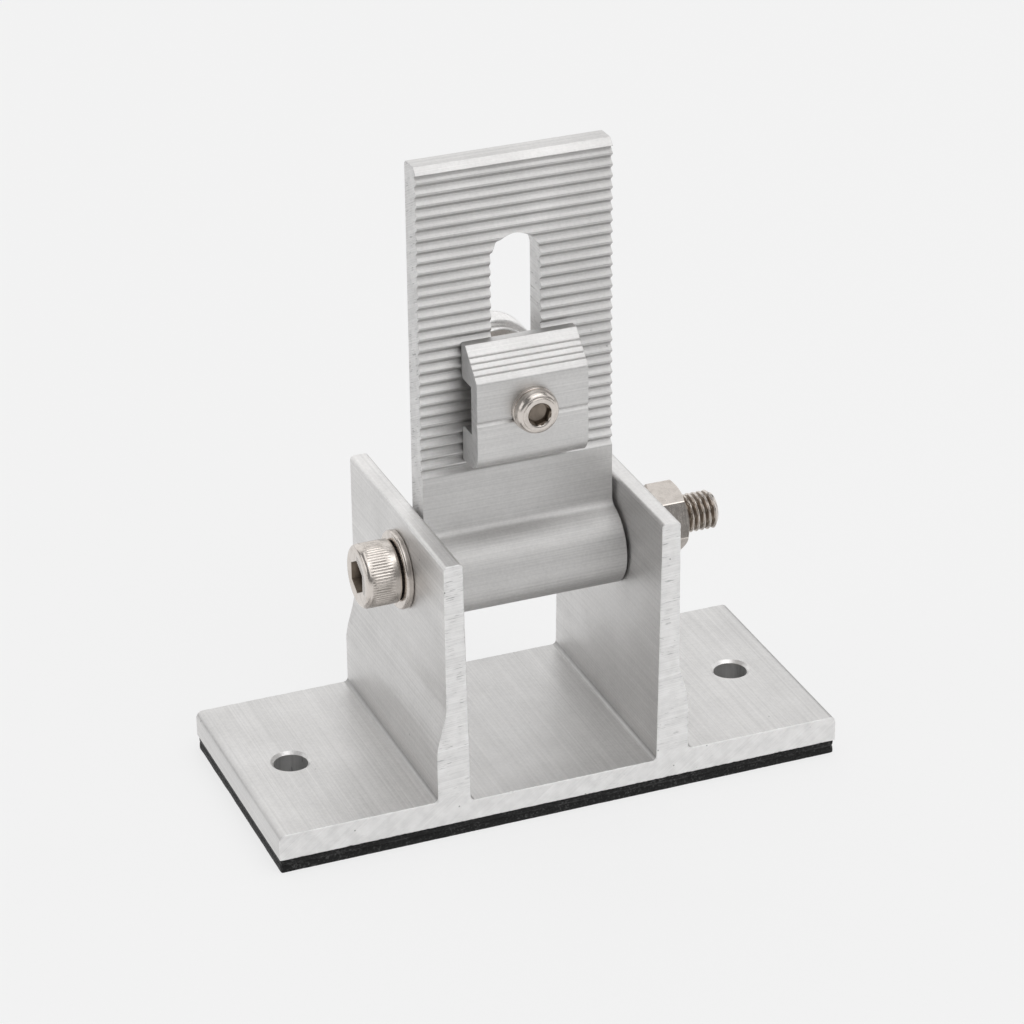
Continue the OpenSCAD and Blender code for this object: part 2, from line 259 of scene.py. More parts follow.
def sawn(name, tilts, level=1.0):
    make = sawing
    base = make["level"] * level

    def lowPart(net):
        return net.step(net.height(), make["lowTop"] * mm, make["lowFoot"] * mm)

    def marks(net, width):
        sizes = (make["markLength"], make["markLength"], width)
        first = net.grain(sizes, 3, tilts[0])
        if len(tilts) < 2:
            return first
        second = net.grain(sizes, 3, tilts[1])
        low = lowPart(net)
        return first * (1 - low) + (second * make["lowContrast"] + (1 - make["lowContrast"]) / 2) * low

    def colour(net):
        fine = (marks(net, make["mark"]) - 0.5) * make["contrast"]
        cloud = net.swing(make["cloudSize"], make["cloud"], 4)
        torn = net.grain((make["tornLength"], make["tornLength"], make["torn"]), 2, tilts[0])
        deep = net.step(torn, 0.56, 0.68) * net.step(net.grain(make["tornPatch"], 2), 0.47, 0.6)
        if len(tilts) > 1:
            deep = deep * (1 - lowPart(net) * make["lowSmooth"])
        patch = net.step(net.grain(make["chipPatch"], 1), 0.46, 0.56)
        chip = net.specks(make["chipSpacing"], make["chip"]) * patch
        share = net.limited(make["middle"] + fine + cloud - deep * make["tornDark"] - chip * make["chipDark"])
        return net.blended(share, *(grey(base * make[end], make["warm"]) for end in ("dark", "pale")))

    def rough(net):
        return net.limited(make["roughness"] + (marks(net, make["dullMark"]) - 0.5) * make["dull"])

    def relief(net):
        return marks(net, make["mark"]) + marks(net, make["broadMark"]) * make["broadShare"]

    return finished(name, colour, rough, relief, make["metallic"], make["bump"], make["bumpHeight"])


# Stainless steel: turned, a little stained
stainless = {
    "pale": (0.70, 0.65, 0.605, 1),
    "dark": (0.53, 0.485, 0.445, 1),
    "stainSize": 1.6,
    "stain": 0.6,
    "ringLength": 14,
    "ring": 0.14,
    "roughness": 0.24,
    "dullRing": 0.2,
    "ringDull": 0.14,
    "dullSize": 1.1,
    "dull": 0.12,
    "bump": 0.06,
    "bumpHeight": 0.01,
}


def steel(name, axis):
    make = stainless

    def ringed(width):
        sizes = [make["ringLength"]] * 3
        sizes[axis] = width
        return sizes

    def colour(net):
        stain = net.step(net.grain(make["stainSize"], 4), 0.42, 0.72)
        return net.blended(stain * make["stain"], make["pale"], make["dark"])

    def rough(net):
        return net.limited(make["roughness"] + net.swing(ringed(make["dullRing"]), make["ringDull"])
                           + net.swing(make["dullSize"], make["dull"]))

    def relief(net):
        return net.grain(ringed(make["ring"]))

    return finished(name, colour, rough, relief, bump=make["bump"], bumpHeight=make["bumpHeight"])


# Painted shade on the steel: near-black in the gap under the bolt head, dark in the thread roots, the screw
# socket's cone and the sockets' walls
paintedSteelShade = {
    "paintedGapShadow": {"dark": (0.01, 0.008, 0.006, 1), "pale": (0.05, 0.04, 0.035, 1), "size": 1,
                "roughness": 0.6, "detail": 2, "dullSize": 1, "metallic": 0.0},
    "paintedHollowShade": {"dark": (0.20, 0.165, 0.135, 1), "pale": (0.38, 0.33, 0.28, 1), "size": 1.5,
                   "roughness": 0.3},
    "paintedSocketShade": {"dark": (0.10, 0.075, 0.055, 1), "pale": (0.26, 0.22, 0.18, 1), "size": 1.2,
                    "roughness": 0.35},
}


def shaded(name, dark, pale, size, roughness, detail=3, dullSize=0.8, metallic=1.0):
    return finished(name, lambda net: net.blended(net.grain(size, detail), dark, pale),
                    lambda net: roughness + net.grain(dullSize, detail) * 0.2, metallic=metallic)


# The pad's rubber: black, crumbly at its edge, with pale dust, and a painted highlight as a lighter band half
# way up
sheet = {
    "dark": 0.003,
    "pale": 0.09,
    "crumbSize": 0.42,
    "crumb": 0.25,
    "patchCrumb": 0.5,
    "patchSize": (4, 4, 2),
    "dustSpacing": 1.1,
    "dustSize": 0.2,
    "dust": 0.8,
    "paintedHighlightBandEdges": ((1.5, 1.7), (1.85, 2.0)),  # the heights between which it begins and ends
    "paintedHighlightBand": 0.5,
    "roughness": 0.55,
    "dullSize": 0.6,
    "dull": 0.3,
    "reliefSize": 0.45,
    "bump": 1.0,
    "bumpHeight": 0.3,
    "specular": 0.3,
}


def rubber(name):
    make = sheet

    def colour(net):
        height = net.height()
        foot, top = (net.step(height, low * mm, high * mm) for low, high in make["paintedHighlightBandEdges"])
        # painted highlight: a lighter, patchy band between these two heights
        paintedHighlightBand = foot * (1 - top)
        crumb = net.step(net.grain(make["crumbSize"]), 0.52, 0.66)
        patch = net.step(net.grain(make["patchSize"], 2), 0.4, 0.65)
        dust = net.specks(make["dustSpacing"], make["dustSize"]) * patch
        share = net.limited(crumb * (make["crumb"] + patch * make["patchCrumb"]) + dust * make["dust"]
                            + paintedHighlightBand * patch * make["paintedHighlightBand"])
        return net.blended(share, grey(make["dark"]), grey(make["pale"]))

    def rough(net):
        return make["roughness"] + net.swing(make["dullSize"], make["dull"])

    def relief(net):
        return net.grain(make["reliefSize"], 5, rough=0.6)

    return finished(name, colour, rough, relief, 0.0, make["bump"], make["bumpHeight"], make["specular"])


def tilted(axis, degrees):
    turn = [0, 0, 0]
    turn[axis] = math.radians(degrees)
    return turn


baseSkin = pressed("millBase", alongY)
baseCut = sawn("sawnBase", [tilted(alongY, 4), tilted(alongY, 38)])
# painted shade: a darker copy of the base's aluminium for the sloped corner faces at the foot of the ears
paintedCornerShade = pressed("millCornerShade", alongY, level=0.72)
# painted shade: a darker copy for the plate's top between the ears
paintedInnerShade = pressed("millInnerShade", alongY, level=0.92)
# painted light: a lighter copy of the base's aluminium for the tops of the ears
paintedEarTopLight = pressed("millEarTopLight", alongY, level=1.2, roughness=0.05)
legSkin = pressed("millLeg", alongX, level=0.84)
# painted light: a lighter copy of the upright's aluminium for its down-facing front slopes
paintedUndersideLight = pressed("millUndersideLight", alongX, level=0.95)
# painted light: a lighter copy of the upright's aluminium for its top
paintedLegTopLight = pressed("millLegTopLight", alongX, level=1.05, roughness=0.05)
# painted highlight: a lighter copy of the upright's aluminium for the barrel
paintedBarrelHighlight = pressed("millBarrelHighlight", alongX, level=0.97, roughness=0.14)
legCut = sawn("sawnLeg", [tilted(alongX, 28)], level=0.8)
slotWall = sawn("milledSlot", [tilted(alongZ, 90)], level=0.82)
blockSkin = pressed("millBlock", alongX, level=0.94)
blockCut = sawn("sawnBlock", [tilted(alongX, -35)], level=0.62)
# painted shade: the walls inside holes and bores are darker
paintedBoreShade = sawn("drilledBoreShade", [tilted(alongX, 90)], level=0.5)
# painted highlight: a lighter copy of the aluminium for the chamfers round the holes
paintedBevelHighlight = pressed("turnedBevelHighlight", alongZ, level=1.25)
# painted shadow and painted shade on the steel, from the table above
paintedGapShadow, paintedHollowShade, paintedSocketShade = (shaded(name, **make) for name, make in paintedSteelShade.items())
pivotSteel = steel("stainlessPivot", alongX)
clampSteel = steel("stainlessClamp", alongY)
thumbSteel = pressed("platedNut", alongY, level=1.3, roughness=-0.12)
padRubber = rubber("rubberSheet")
print("finishes ready")


def meshObject(name, shape, finishes, sharpAngle=30):  # the finished piece, smooth where it is round
    mesh = bpy.data.meshes.new(name)
    shape.to_mesh(mesh)
    shape.free()
    for finish in finishes:
        mesh.materials.append(finish)
    made = bpy.data.objects.new(name, mesh)
    bpy.context.scene.collection.objects.link(made)
    smoothed(made, sharpAngle)
    return made


def smoothed(made, sharpAngle=30):
    made.data.shade_smooth()
    made.data.set_sharp_from_angle(angle=math.radians(sharpAngle))


def applied(made):  # its modifiers become part of its mesh
    seen = made.evaluated_get(bpy.context.evaluated_depsgraph_get())
    result = bpy.data.meshes.new_from_object(seen)
    made.modifiers.clear()
    made.data = result


def cutAway(made, cutters):
    for cutter in cutters:
        taken = made.modifiers.new("cut", "BOOLEAN")
        taken.operation = "DIFFERENCE"
        taken.solver = "EXACT"
        taken.object = cutter
    applied(made)
    for cutter in cutters:
        bpy.data.objects.remove(cutter)
    smoothed(made)


def placed(name, made, body, nodeName):
    made.name = name
    made.data.name = name
    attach(made, body)
    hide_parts(nodeName)
    print("made %s: %d triangles" % (name, sum(len(f.vertices) - 2 for f in made.data.polygons)))


def endOutline(nodeName, axis):  # walks round a piece's end face, in the two directions across the axis
    across = [i for i in range(3) if i != axis]
    touching = 1e-6
    shape = bmesh.new()
    shape.from_mesh(frame["nodes"][nodeName].data)
    bmesh.ops.remove_doubles(shape, verts=shape.verts, dist=touching)
    end = min(v.co[axis] for v in shape.verts)
    cap = {f for f in shape.faces if all(abs(v.co[axis] - end) < touching for v in f.verts)}
    rim = {e for f in cap for e in f.edges if sum(g in cap for g in e.link_faces) == 1}
    walks = []
    while rim:
        edge = rim.pop()
        walk = list(edge.verts)
        while edge:
            edge = next((e for e in walk[-1].link_edges if e in rim), None)
            if edge:
                rim.remove(edge)
                walk.append(edge.other_vert(walk[-1]))
        walks.append([Vector((v.co[across[0]], v.co[across[1]])) for v in walk[:-1]])
    shape.free()
    longest = max(walks, key=lambda walk: max(p.x for p in walk) - min(p.x for p in walk))
    area = sum(p.cross(q) for p, q in zip(longest, longest[1:] + longest[:1]))
    return longest if area > 0 else longest[::-1]


def softened(outline, radius, least=18, steps=2):  # small rounds at corners of least degrees or more
    made = []
    for before, here, after in zip(outline[-1:] + outline[:-1], outline, outline[1:] + outline[:1]):
        a, b = (here - before), (after - here)
        turn = abs(a.angle_signed(b))
        if turn < math.radians(least):
            made.append(here)
            continue
        reach = min(radius * math.tan(turn / 2), a.length * 0.35, b.length * 0.35)
        start, end = here - a.normalized() * reach, here + b.normalized() * reach
        for i in range(steps + 1):
            t = i / steps
            made.append(start * (1 - t) ** 2 + here * 2 * t * (1 - t) + end * t ** 2)
    return made


def spaced(outline, step):  # more points on an outline's long stretches
    made = []
    for here, after in zip(outline, outline[1:] + outline[:1]):
        count = max(1, math.ceil((after - here).length / step))
        made += [here.lerp(after, i / count) for i in range(count)]
    return made


def inwards(outline):  # at each point, the way into the material
    made = []
    for before, here, after in zip(outline[-1:] + outline[:-1], outline, outline[1:] + outline[:1]):
        a, b = (here - before).normalized(), (after - here).normalized()
        normal = Vector((-a.y - b.y, a.x + b.x)).normalized()
        made.append(normal / max(0.5, normal.dot(Vector((-a.y, a.x)))))
    return made


def unfolded(outline, ways, depths, tries=30, ease=0.6, least=0.25):  # eases insets that would fold over
    count = len(outline)
    for attempt in range(tries):
        folds = []
        for i in range(count):
            j = (i + 1) % count
            side = outline[j] - outline[i]
            if (side + ways[j] * depths[j] - ways[i] * depths[i]).dot(side) < least * side.length_squared:
                folds.append(i)
        if not folds:
            break
        for i in folds:
            depths[i] *= ease
            depths[(i + 1) % count] *= ease
    return depths


def inSpace(point, along, axis):
    made = [point.x, point.y]
    made.insert(axis, along)
    return Vector(made)


def extrusion(name, outline, axis, rings, finishes):
    # Each ring is (place along the axis, inset), both given for a point's distance round the outline
    ways = inwards(outline)
    reached, travel = [], 0.0
    for here, after in zip(outline, outline[1:] + outline[:1]):
        reached.append(travel)
        travel += (after - here).length
    shape = bmesh.new()
    levels = []
    for along, inset in rings:
        depths = unfolded(outline, ways, [inset(s) for s in reached])
        levels.append([shape.verts.new(inSpace(p + w * depth, along(s), axis))
                       for p, w, depth, s in zip(outline, ways, depths, reached)])
    for k, (low, high) in enumerate(zip(levels, levels[1:])):
        edge = k in (0, len(levels) - 2)
        for i in range(len(outline)):
            j = (i + 1) % len(outline)
            shape.faces.new((low[i], low[j], high[j], high[i])).material_index = int(edge)
    caps = [shape.faces.new(levels[0][::-1]), shape.faces.new(levels[-1])]
    for cap in caps:
        cap.material_index = 1
        cap.normal_update()
    bmesh.ops.triangulate(shape, faces=caps)
    bmesh.ops.recalc_face_normals(shape, faces=shape.faces)
    return meshObject(name, shape, finishes)


def nicked(seed, edge):  # an inset that wanders, is jagged, and has a deeper nick here and there
    def inset(s):
        def waver(size, row):
            return noise.noise(Vector((s / (size * mm), seed, row)))
        wander = waver(edge["size"], 0.0)
        jag = waver(edge["size"] * 0.3, 3.0)
        nick = waver(edge["size"] * 0.6, 7.0)
        return mm * (edge["bevel"] * (1 + 0.6 * wander) + edge["jag"] * abs(jag)
                     + edge["nick"] * max(0.0, nick - 0.28))
    return inset


def still(value):  # the same all round an outline
    return lambda s: value


def sawnRings(low, high, step, seed, edge):  # rings along a bar, with nicked edges at both saw cuts
    lead = 1 * mm  # the first plain ring lies this far from a saw cut
    inside = high - low - 2 * lead
    count = max(2, round(inside / (step * mm)))
    near, far = nicked(seed, edge), nicked(seed + 5, edge)
    return ([(still(low), near), (lambda s: low + near(s) * 0.9, still(0.0))]
            + [(still(low + lead + inside * i / count), still(0.0)) for i in range(count + 1)]
            + [(lambda s: high - far(s) * 0.9, still(0.0)), (still(high), far)])


def turned(name, rings, segments, place, finishes, closed=False, sharpAngle=30):
    # Each ring is a function of the angle that gives radius and height; a radius of None closes the end
    shape = bmesh.new()
    levels = []
    for ring in rings:
        if ring(0)[0] is None:
            levels.append([shape.verts.new((0, 0, ring(0)[1]))])
            continue
        row = []
        for i in range(segments):
            a = fullTurn * i / segments
            r, z = ring(a)
            row.append(shape.verts.new((r * math.cos(a), r * math.sin(a), z)))
        levels.append(row)
    pairs = list(zip(levels, levels[1:]))
    if closed:
        pairs.append((levels[-1], levels[0]))
    for low, high in pairs:
        for i in range(segments):
            j = (i + 1) % segments
            corners = [low[i % len(low)], low[j % len(low)], high[j % len(high)], high[i % len(high)]]
            shape.faces.new(list(dict.fromkeys(corners)))
    bmesh.ops.recalc_face_normals(shape, faces=shape.faces)
    shape.transform(place)
    return meshObject(name, shape, finishes, sharpAngle)


def ringOf(radius, height):  # a plain round ring, in mm
    return lambda a: (None if radius is None else radius * mm, height * mm)


def evenly(radius, low, length, steps):  # plain rings, evenly spaced
    return [ringOf(radius, low + length * i / steps) for i in range(steps + 1)]


def hexRing(apothem, height, phase, corner=99):  # a six-sided ring, in mm, with a corner at the phase angle
    sixth = fullTurn / 6

    def at(a):
        inSixth = (a - math.radians(phase)) % sixth - sixth / 2
        return (min(apothem / math.cos(inSixth), corner) * mm, height * mm)
    return at


def rounding(r, z, radius, start, end, steps=4):  # rings along a quarter round about (r, z)
    angles = [math.radians(start + (end - start) * i / steps) for i in range(steps + 1)]
    return [ringOf(r + radius * math.cos(a), z + radius * math.sin(a)) for a in angles]


def reliefTree():  # cuts ribs or a thread into a turned piece that stands along Z
    tree = bpy.data.node_groups.new("cutRelief", "GeometryNodeTree")
    names = ("Starts", "Rise", "Depth", "Radius", "Low", "High", "Runout", "Crest")
    sockets = ([("Geometry", "NodeSocketGeometry")] + [(name, "NodeSocketFloat") for name in names]
               + [("Finish", "NodeSocketMaterial")])
    for name, kind in sockets:
        tree.interface.new_socket(name, in_out="INPUT", socket_type=kind)
    tree.interface.new_socket("Geometry", in_out="OUTPUT", socket_type="NodeSocketGeometry")
    net = Net(tree)
    given = net.node("NodeGroupInput")
    starts, rise, depth, radius, low, high, runout, crest = (given.beside(name) for name in names)
    spot = net.node("ShaderNodeSeparateXYZ", None, {0: net.node("GeometryNodeInputPosition")})
    x, y, z = (spot.beside(i) for i in range(3))
    angle = net.maths("ARCTAN2", y, x) / fullTurn
    phase = net.maths("FRACT", angle * starts + z * rise + 64.0)  # 64 keeps the sum above 0
    wave = net.maths("ABSOLUTE", phase * 2 - 1)  # 1 on a crest, 0 in a valley
    worn = net.limited(wave / (1 - crest))
    outward = net.node("ShaderNodeCombineXYZ", None, {"X": x, "Y": y})
    distance = net.node("ShaderNodeVectorMath", {"operation": "LENGTH"}, {0: outward}, out="Value")
    skin = distance > radius * 0.985  # only the outside is cut
    band = net.step(z, low, low + runout) * (1 - net.step(z, high - runout, high))
    cut = (1 - worn) * depth * band * skin
    way = net.node("ShaderNodeVectorMath", {"operation": "NORMALIZE"}, {0: outward})
    shift = net.node("ShaderNodeVectorMath", {"operation": "SCALE"}, {0: way, "Scale": cut * -1.0})
    moved = net.node("GeometryNodeSetPosition", None, {"Geometry": given.beside("Geometry"), "Offset": shift})
    real = net.node("GeometryNodeRealizeInstances", None, {"Geometry": moved})
    painted = net.node("GeometryNodeSetMaterial", None,
                       {"Geometry": real, "Material": given.beside("Finish")})
    net.node("NodeGroupOutput", None, {"Geometry": painted})
    return tree


relief = reliefTree()


def cutRelief(made, finish, starts, rise, crest, **lengths):  # lengths in mm
    added = made.modifiers.new("relief", "NODES")
    added.node_group = relief
    named = {item.name: item.identifier for item in relief.interface.items_tree if item.in_out == "INPUT"}
    for name, value in lengths.items():
        added[named[name]] = value * mm
    for name, value in (("Starts", float(starts)), ("Rise", rise), ("Crest", crest), ("Finish", finish)):
        added[named[name]] = value
    applied(made)


def cutThread(made, finish, radius, pitch, depth, low, high):
    cutRelief(made, finish, -1, 1 / (pitch * mm), 0.12, Depth=depth, Radius=radius, Low=low, High=high,
              Runout=pitch * 0.8)


def moved(made, place, sharpAngle=50):
    made.data.transform(place)
    smoothed(made, sharpAngle)
    return made


def repainted(made, finish, inner, outer, low, high):  # the faces between two radii and two heights, in mm
    made.data.materials.append(finish)
    for face in made.data.polygons:
        if low * mm < face.center.z < high * mm and inner * mm < face.center.xy.length < outer * mm:
            face.material_index = len(made.data.materials) - 1


def painted(made, index):
    for face in made.data.polygons:
        face.material_index = index
    return made


pivot = Vector(next(j for j in frame["joints"] if j["name"] == "leg_tilt")["pos_m"])
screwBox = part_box("clamp_screw")
clampZ = (screwBox[0].z + screwBox[1].z) / 2


def span(nodeName, axis):  # a turned piece's radius and length in mm, and where it starts
    low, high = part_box(nodeName)
    return (high.z - low.z) / 2 / mm, (high[axis] - low[axis]) / mm, low[axis]


def onPivot(x):  # stands a turned piece along +X on the pivot's axis
    return Matrix.Translation((x, pivot.y, pivot.z)) @ Matrix.Rotation(math.pi / 2, 4, "Y")


def onScrew(y, way=1):  # stands a turned piece along +Y or -Y on the clamp screw's axis
    return Matrix.Translation((0, y, clampZ)) @ Matrix.Rotation(-way * math.pi / 2, 4, "X")


def drill(place, radius, low, high, flare=0.0, finishes=(baseSkin, baseCut, paintedBoreShade, paintedBevelHighlight)):
    # A cutter for a round hole, in mm, wider at its top end
    rings = [ringOf(None, low), ringOf(radius, low), ringOf(radius, high - flare)]
    over = 2 if flare else 0
    if flare:
        rings += [ringOf(radius + flare, high), ringOf(radius + flare, high + over)]
    rings += [ringOf(None, high + over)]
    return turned("drill", rings, 96, place, finishes)


# The base: one extrusion along Y, sawn at both ends and drilled
base = {
    "step": 0.32,  # spacing of the points round the outline
    "corner": 0.25,
    "ringStep": 7,
    "edge": {"bevel": 0.12, "jag": 0.22, "nick": 0.5, "size": 1.7},
    "plate": 5.6,
    "holeRadius": 3.5,
    "holeX": 48.5,
    "holeBevel": 0.6,
    "boreRadius": 4.2,
    "boreReach": 40,
    "earReach": 40,  # no ear lies further from the middle than this
    "earTopLow": 30,
    "footHigh": 10,
    "innerReach": 28,
    "slope": 0.15,  # how far up a sloping face looks, at least
    "flat": 0.97,
}


def makeBase():
    low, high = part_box("base_bracket")
    outline = spaced(softened(endOutline("base_bracket", alongY), base["corner"] * mm), base["step"] * mm)
    made = extrusion("base", outline, alongY, sawnRings(low.y, high.y, base["ringStep"], 3.0, base["edge"]),
                     [baseSkin, baseCut, paintedBoreShade, paintedBevelHighlight, paintedCornerShade, paintedInnerShade, paintedEarTopLight])
    for face in made.data.polygons:
        far, tall, up = abs(face.center.x) / mm, face.center.z / mm, face.normal.z
        if face.material_index == 0 and up > base["slope"] and far < base["earReach"]:
            if tall > base["earTopLow"]:
                # painted light: the ear tops take the lighter copy
                face.material_index = 6
            elif up < base["flat"] and tall < base["footHigh"]:
                # painted shade: the sloped faces low down, where the ears meet the plate, take the darker
                # copy
                face.material_index = 4
            elif up > base["flat"] and far < base["innerReach"]:
                # painted shade: the plate's top between the ears takes the darker copy
                face.material_index = 5
    plateTop = low.z / mm + base["plate"]
    holes = [drill(Matrix.Translation((side * base["holeX"] * mm, 0, 0)), base["holeRadius"], 0, plateTop,
                   base["holeBevel"]) for side in (-1, 1)]
    for hole in holes:
        for face in hole.data.polygons:
            # the chamfers (3) take the painted highlight and the walls (2) the painted shade
            face.material_index = 3 if abs(face.normal.z) > 0.2 else 2
    # painted shade: the pivot bore's walls take the darker bore finish
    bore = painted(drill(onPivot(0), base["boreRadius"], -base["boreReach"], base["boreReach"]), 2)
    cutAway(made, holes + [bore])
    placed("basePlate", made, "base", "base_bracket")


makeBase()


# The rubber pad: cut by hand from sheet, so its edge is a little uneven
pad = {
    "step": 0.5,
    "corner": 0.5,
    "waveLength": 7,
    "crumbLength": 1.1,
    "uneven": 0.1,
    # Heights above its underside, each with how far the edge is drawn in there
    "levels": [(0.0, 0.2), (0.2, 0.04), (0.8, 0.0), (1.4, 0.05), (1.7, 0.2), (1.95, 0.05), (2.6, 0.0),
               (3.0, 0.06)],
    "holeRadius": 3.7,
    "holeLow": -2,
    "holeHigh": 5,
}


def makePad():
    low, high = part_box("rubber_pad")
    corners = [Vector(c) for c in ((low.x, low.y), (high.x, low.y), (high.x, high.y), (low.x, high.y))]
    outline = spaced(softened(corners, pad["corner"] * mm), pad["step"] * mm)

    def inset(depth, seed):
        def waver(s, length, row):
            return pad["uneven"] * abs(noise.noise(Vector((s / (length * mm), seed, row))))
        return lambda s: mm * (depth + waver(s, pad["waveLength"], 0) + waver(s, pad["crumbLength"], 3))
    rings = [(still(low.z + z * mm), inset(depth, 1.0 + 0.35 * z)) for z, depth in pad["levels"]]
    made = extrusion("pad", outline, alongZ, rings, [padRubber])
    cutAway(made, [drill(Matrix.Translation((side * base["holeX"] * mm, 0, 0)), pad["holeRadius"],
                         pad["holeLow"], pad["holeHigh"], finishes=[padRubber]) for side in (-1, 1)])
    placed("rubberPad", made, "base", "rubber_pad")


makePad()


# The upright: extruded along X with its ridges and barrel, then slotted and bored
upright = {
    "step": 0.5,
    "corner": 0.2,
    "ringStep": 1.5,
    "edge": {"bevel": 0.05, "jag": 0.08, "nick": 0.3, "size": 1.2},
    "boreRadius": 4.2,
    "boreReach": 40,
    "topHigh": 1.35,
    "barrelTop": 7.6,
    "valleySlope": -0.2,
    "front": -1,  # its two faces, from the pivot
    "back": 5,
    "slotWidth": 10.4,
    "slotLow": 24.0,
    "slotTop": 67.8,
    "slotFlare": 2.2,
    "slotOver": 2,
    "slotEdge": 0.2,
}


def makeUpright():
    low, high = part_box("tilt_leg")
    outline = spaced(softened(endOutline("tilt_leg", alongX), upright["corner"] * mm), upright["step"] * mm)
    rings = sawnRings(low.x, high.x, upright["ringStep"], 11.0, upright["edge"])
    made = extrusion("upright", outline, alongX, rings,
                     [legSkin, legCut, slotWall, paintedUndersideLight, paintedLegTopLight, paintedBarrelHighlight])
    for face in made.data.polygons:
        if face.material_index == 0:
            if face.center.z > high.z - upright["topHigh"] * mm:
                # painted light: the top takes the lighter copy
                face.material_index = 4
            elif face.center.z < pivot.z + upright["barrelTop"] * mm:
                # painted highlight: the barrel takes the lighter copy
                face.material_index = 5
            elif face.normal.z < upright["valleySlope"] and face.normal.y < 0:
                # painted light: down-facing front slopes take the lighter copy
                face.material_index = 3
    half = upright["slotWidth"] / 2
    ends = [(pivot.z / mm + upright["slotLow"] + half, 180), (pivot.z / mm + upright["slotTop"] - half, 0)]
    slot = [Vector((half * math.cos(math.radians(start + a)) * mm,
                    (z + half * math.sin(math.radians(start + a))) * mm))
            for z, start in ends for a in range(0, 181, 5)]
    front, back = pivot.y / mm + upright["front"], pivot.y / mm + upright["back"]
    places = [(front - upright["slotOver"], -upright["slotFlare"]), (front + upright["slotEdge"], 0),
              (back - upright["slotEdge"], 0), (back + upright["slotOver"], -upright["slotFlare"])]
    cutter = extrusion("slot", slot, alongY, [(still(y * mm), still(depth * mm)) for y, depth in places],
                       [legSkin, legCut, slotWall])
    bore = drill(onPivot(0), upright["boreRadius"], -upright["boreReach"], upright["boreReach"])
    cutAway(made, [painted(cutter, 2), painted(bore, 2)])
    placed("ridgedUpright", made, "leg", "tilt_leg")


makeUpright()


# The clamp block: a short piece of its own extrusion
block = {
    "step": 0.4,
    "corner": 0.12,
    "ringStep": 1.4,
    "edge": {"bevel": 0.08, "jag": 0.06, "nick": 0.2, "size": 1.1},
    "boreRadius": 2.7,
    "boreReach": 30,
}


def makeBlock():
    low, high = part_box("clamp_block")
    outline = spaced(softened(endOutline("clamp_block", alongX), block["corner"] * mm), block["step"] * mm)
    rings = sawnRings(low.x, high.x, block["ringStep"], 23.0, block["edge"])
    made = extrusion("block", outline, alongX, rings, [blockSkin, blockCut, paintedBoreShade])
    bore = drill(onScrew(0), block["boreRadius"], -block["boreReach"], block["boreReach"])
    # painted shade: the screw bore's walls take the darker bore finish
    cutAway(made, [painted(bore, 2)])
    placed("clampBlock", made, "clamp", "clamp_block")


makeBlock()


# The pivot bolt: a socket head with a straight knurl, and a thread at the far end
bolt = {
    "segments": 384,
    "socket": 6.0,
    "socketDepth": 4.0,
    "socketCone": 1.6,
    "socketPhase": 0,
    "socketEdge": 0.14,
    "shank": 8.0,
    "rim": 1.0,
    "headRings": 14,
    "headStep": 0.42,
    "seatEdge": 0.35,
    "groove": 0.35,
    "grooveDepth": 0.9,
    "ribs": 64,
    "ribDepth": 0.1,
    "ribCrest": 0.4,
    "ribRunout": 0.35,
    "knurlLow": 1.2,
    "knurlHigh": 5.6,
    "pitch": 1.25,
    "threadDepth": 0.7,
    "threadLength": 20,
    "pitchRings": 8,
    "tipBevel": 0.65,
    "tipHeight": 0.4,
}


def makeBolt():
    head, end, start = span("pivot_bolt", alongX)
    seat = (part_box("head_washer")[0].x - start) / mm
    shank, rim, edge, groove = bolt["shank"] / 2, bolt["rim"], bolt["seatEdge"], bolt["groove"]
    apothem, deep = bolt["socket"] / 2, bolt["socketDepth"]
    phase, bevel = bolt["socketPhase"], bolt["socketEdge"]
    thread, waist = bolt["threadLength"], head - bolt["grooveDepth"]
    threadLow = end - thread
    rings = [ringOf(None, deep + bolt["socketCone"]), ringOf(apothem * 0.95, deep + 0.02),
             hexRing(apothem, deep, phase), hexRing(apothem, bevel, phase),
             hexRing(apothem + bevel, 0, phase), ringOf(head - rim - 0.15, 0)]
    rings += rounding(head - rim, rim, rim, -90, 0, 6)
    rings += [ringOf(head, rim + 0.15 + i * bolt["headStep"]) for i in range(bolt["headRings"])]
    rings += rounding(head - edge, seat - groove - edge, edge, 0, 90, 3)
    rings += [ringOf(waist, seat - groove), ringOf(waist, seat), ringOf(shank + 0.4, seat),
              ringOf(shank, seat + 0.5)]
    rings += [ringOf(shank, seat + (threadLow - seat) * i / 6) for i in range(1, 6)]
    steps = round(thread / bolt["pitch"] * bolt["pitchRings"])
    rings += evenly(shank, threadLow, thread - bolt["tipHeight"], steps)
    rings += [ringOf(shank - bolt["tipBevel"], end), ringOf(None, end)]
    made = turned("bolt", rings, bolt["segments"], Matrix.Identity(4), [pivotSteel])
    cutRelief(made, pivotSteel, bolt["ribs"], 0.0, bolt["ribCrest"], Depth=bolt["ribDepth"], Radius=head,
              Low=bolt["knurlLow"], High=bolt["knurlHigh"], Runout=bolt["ribRunout"])
    cutThread(made, pivotSteel, shank, bolt["pitch"], bolt["threadDepth"], threadLow, end + 1)
    # painted shade: the socket's walls are dark
    repainted(made, paintedSocketShade, 0, apothem * 1.2, 0.05, deep + 2)
    # painted shadow: the groove under the head is near-black
    repainted(made, paintedGapShadow, shank + 0.3, waist + 0.4, seat - groove - 0.02, seat + 0.05)
    # painted shade: the thread's roots are dark
    repainted(made, paintedHollowShade, 0.5, shank - bolt["threadDepth"] * 0.4, threadLow, end - 0.5)
    placed("pivotBolt", moved(made, onPivot(start)), "base", "pivot_bolt")


makeBolt()


